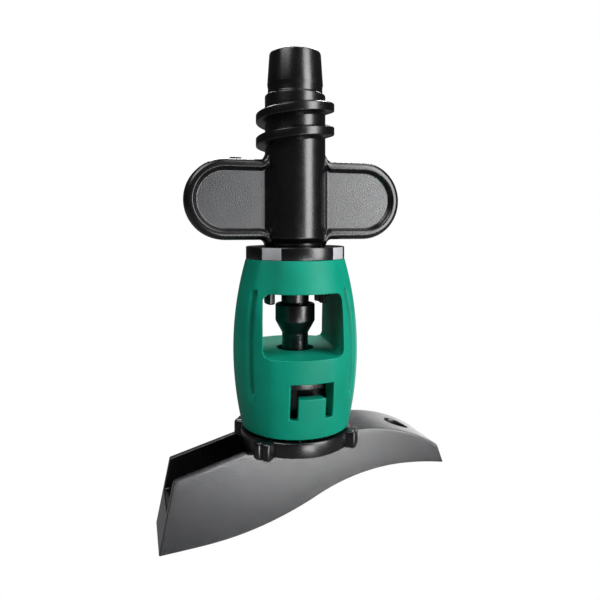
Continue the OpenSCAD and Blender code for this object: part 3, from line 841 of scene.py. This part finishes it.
def wing_shell():
    """Rotor moulding: open trough on the left, hub plate and crowned hollow on the right.

    Stations run along X, and layers across the thickness and up the height. The grid's lines
    follow the outlines of the trough, the duct, the hollow and the crown.
    """
    left, lean_x, trough_x, duct_x = -24.2, -11.2, -9.6, 3.3
    hollow_x, collar_x, crown_x, right = 5.2, 9.0, 12.2, 28.4
    station = filled_in([left, lean_x, trough_x, duct_x, hollow_x, collar_x, crown_x,
                         right - WING_WALL, right], 1.15)
    inner_y = WING_HALF_W - WING_WALL
    layer_y = np.array([-WING_HALF_W, -inner_y, inner_y, WING_HALF_W])
    x = np.broadcast_to(station[:, None], (len(station), 4)).copy()
    for mark, side in ((trough_x, -1), (collar_x, 1)):
        row = int(np.argmin(np.abs(station - mark)))
        x[row] = side * np.sqrt((COLLAR_R + 0.05)**2 - layer_y**2)

    # The crown's arc, the sloping edge of the trough's walls and the plate that joins them
    top_arc_x, top_arc_r, wall_x, wall_in_d, wall_out_d = 12.5, 29.0, -10.9, 76.4, 80.2
    plate_top_d, plate_foot_d, crown_skin = 76.72, 78.2, 0.95
    crown = WING_TOP + top_arc_r - np.sqrt(top_arc_r**2 - np.maximum(x - top_arc_x, 0) ** 2)
    wall_top = wall_in_d + (wall_out_d - wall_in_d) * np.clip((wall_x - x) / (wall_x - left), 0, 1)
    blend = np.clip((x - (crown_x - 2.0)) / 2.0, 0, 1)
    in_trough = x < -10.5
    plate_top = np.where(in_trough, wall_top, plate_top_d)
    plate_top = plate_top + blend * (crown + crown_skin - plate_top)
    plate_foot = np.where(in_trough, plate_top + 0.8, plate_foot_d)
    plate_foot = plate_foot + blend * (crown + 2 * crown_skin - plate_foot)

    # The duct turns from the hub on an arc and runs out along the trough's floor
    duct_c, duct_r, out_a = (-5.4, 75.6), 9.0, math.radians(8)
    floor_slope = 0.6 * math.tan(out_a)
    bend_x = duct_c[0] - duct_r * math.sin(out_a)
    bend = duct_c[1] + np.sqrt(np.maximum(duct_r**2 - (x - duct_c[0]) ** 2, 0))
    run = duct_c[1] + duct_r * math.cos(out_a) + (bend_x - x) * floor_slope
    low = underside(x)
    duct = np.maximum(np.where(x < bend_x, run, bend), plate_foot + 0.15)
    inner = np.where(x <= duct_x + 0.01, duct, 0.5 * (low + plate_foot))
    depth = np.stack([low, inner, plate_foot, plate_top, np.minimum(crown, plate_top)], axis=-1)

    # Both end faces lean: the left one in towards its foot, and the right one out
    left_h, left_lean, right_h, right_lean, right_x = 12.8, 2.6, 4.1, 1.5, 20
    left_share = np.clip((lean_x - x) / (lean_x - left), 0, 1)[..., None] ** 2
    right_share = np.clip((x - right_x) / (right - right_x), 0, 1)[..., None] ** 2
    left_fall = (depth - depth[..., 3:4]) / left_h
    right_fall = (depth - depth[..., 4:5]) / right_h
    px = x[..., None] - left_lean * left_share * left_fall + right_lean * right_share * right_fall
    py = np.broadcast_to(layer_y[None, :, None], px.shape)
    points = np.stack([px, py, -depth], axis=-1)

    middle = 0.5 * (station[1:] + station[:-1])
    solid = np.ones((len(middle), 3, 4), bool)
    core = solid[:, 1, :]
    core[middle < duct_x, 1] = False
    core[middle < trough_x, 2] = False
    core[(middle > hollow_x) & (middle < right - WING_WALL), :2] = False
    solid[middle < collar_x, :, 3] = False
    return cell_solid(points, solid)


def bored(obj, x, radius, d0, d1):
    """Cuts a round hole through obj, upright at x, and keeps the result as its mesh."""
    a = np.arange(48) * TAU / 48
    outline = np.column_stack([x + radius * np.cos(a), radius * np.sin(a)])
    cutter_points, cutter_faces = upright(outline, d0, d1)
    mesh = bpy.data.meshes.new("cutter")
    mesh.from_pydata((cutter_points * MM).tolist(), [], cutter_faces)
    tidy(mesh, 0.001)
    cutter = bpy.data.objects.new("cutter", mesh)
    bpy.context.scene.collection.objects.link(cutter)
    cut = obj.modifiers.new("hole", "BOOLEAN")
    cut.operation = "DIFFERENCE"
    cut.solver = "EXACT"
    cut.object = cutter
    evaluated = obj.evaluated_get(bpy.context.evaluated_depsgraph_get())
    result = bpy.data.meshes.new_from_object(evaluated)
    obj.modifiers.clear()
    obj.data = result
    bpy.data.objects.remove(cutter)


def paint_trough_shade(obj, material_index):
    """Gives the water's way, the open trough and the duct, polished black darker than the satin
    outside: the darker colour is painted shade.
    """
    duct_end_x, floor_d, facing_down, facing_out = 3.4, 88.5, -0.5, -0.7
    centre, normal = face_data(obj.data)
    inner = (np.abs(centre[:, 1]) < WING_HALF_W - WING_WALL + 0.1) & (centre[:, 0] < duct_end_x)
    inner &= (centre[:, 2] > -floor_d) & (normal[:, 2] > facing_down) & (normal[:, 0] > facing_out)
    paint(obj, inner, material_index)


def build_wing():
    """The winged rotor, with the round hole through its crown."""
    wing = piece("wing_shell", [wing_shell()], "rotor", "black_acetal", [SPARKED, POLISHED],
                 ["rotor_wing"], merge_mm=0.01)
    hole_x, hole_r = 22.0, 2.4
    bored(wing, hole_x, hole_r, 70, 79.5)
    # The trough's inside takes the darker polished black as painted shade
    paint_trough_shade(wing, 1)
    soften(wing, 0.22, angle=32)


# ---- Carried-over nodes ----


def dress_nodes():
    """Gives the inner CAD nodes that stay their real finishes."""
    finishes = {
        RUBBER: ["connector_seal", "nozzle_seal", "upper_seal", "lower_seal"],
        BEARING: ["upper_bush", "lower_bush", "thrust_washer"],
        STEEL: ["wear_washer", "stem_tube", "retaining_ring"],
        POLISHED: ["cartridge_cover", "jet_deflector"],
    }
    for material, names in finishes.items():
        for name in names:
            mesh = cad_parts[name].data
            mesh.materials.clear()
            mesh.materials.append(material)


side_camera()
studio()
floor()
build_connector()
build_carrier()
build_bridge()
build_cup()
build_collar()
build_wing()
dress_nodes()
